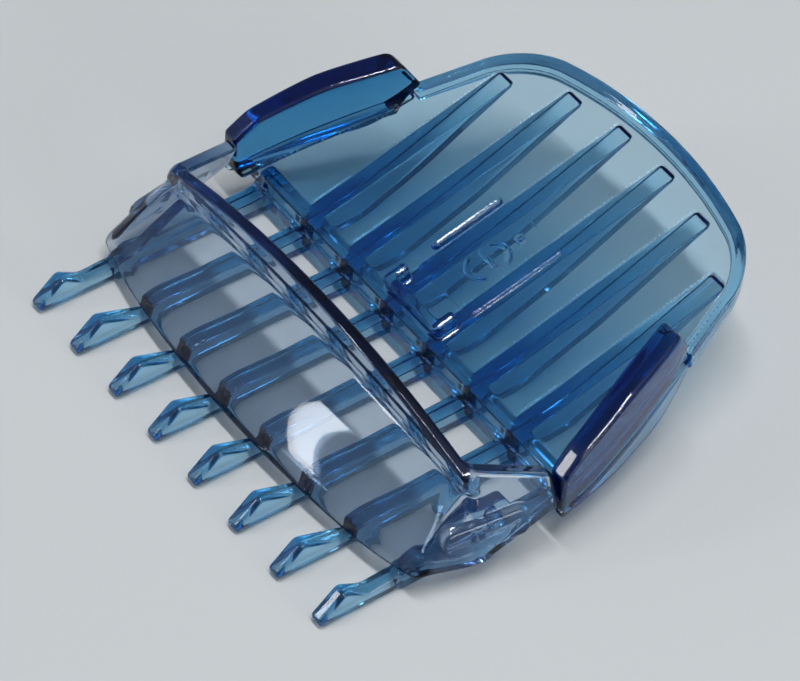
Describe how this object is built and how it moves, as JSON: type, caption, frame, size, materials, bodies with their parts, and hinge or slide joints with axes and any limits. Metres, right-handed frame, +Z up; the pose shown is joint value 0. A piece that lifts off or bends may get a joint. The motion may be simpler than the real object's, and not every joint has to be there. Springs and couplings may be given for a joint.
{
  "type": "hair clipper comb attachment",
  "caption": "Clip-on comb attachment for a hair clipper: a translucent blue comb with long ribs and side arms, and a clear hood over its teeth.",
  "frame": {"origin": "bottom centre: middle of the width and of the length, level with the undersides of the teeth", "axes": "+X to the right arm, tooth tips point to -Y, the plate rises to +Y, +Z up"},
  "size_m": [0.0456, 0.0474, 0.0115],
  "materials": {
    "blue_plastic": "translucent blue, polished",
    "clear_plastic": "clear with a faint grey tint, polished"
  },
  "bodies": {
    "comb": {"heel_plate": "blue_plastic", "plate_rim": "blue_plastic", "cross_bar": "blue_plastic", "insert_pad": "blue_plastic", "size_mark": "blue_plastic", "raised_bar": "blue_plastic", "locating_lug": "blue_plastic", "tooth_1": "blue_plastic", "tooth_2": "blue_plastic", "tooth_3": "blue_plastic", "tooth_4": "blue_plastic", "tooth_5": "blue_plastic", "tooth_6": "blue_plastic", "tooth_7": "blue_plastic", "tooth_8": "blue_plastic", "right_skirt": "blue_plastic", "left_skirt": "blue_plastic", "right_peg_web": "blue_plastic", "left_peg_web": "blue_plastic", "right_snap_peg": "blue_plastic", "left_snap_peg": "blue_plastic"},
    "right_arm": {"right_arm": "blue_plastic"},
    "left_arm": {"left_arm": "blue_plastic"},
    "hood": {"hood_visor": "clear_plastic", "hood_stop_wall": "clear_plastic", "right_hood_ear": "clear_plastic", "left_hood_ear": "clear_plastic", "right_hood_grip": "clear_plastic", "left_hood_grip": "clear_plastic"}
  },
  "joints": [
    {"name": "hood_lift", "type": "slide", "parent": "comb", "child": "hood", "axis": [0, 0, 1], "range_m": [0, 0.016]},
    {"name": "right_arm_flex", "type": "hinge", "parent": "comb", "child": "right_arm", "pos_m": [0.0231, -0.00365, 0.00312], "axis": [-0.2453, 0.9344, 0.2583], "range_deg": [0, 3], "stiffness_Nm_per_rad": 0.05},
    {"name": "left_arm_flex", "type": "hinge", "parent": "comb", "child": "left_arm", "pos_m": [-0.0231, -0.00365, 0.00312], "axis": [-0.2453, -0.9344, -0.2583], "range_deg": [0, 3], "stiffness_Nm_per_rad": 0.05}
  ]
}
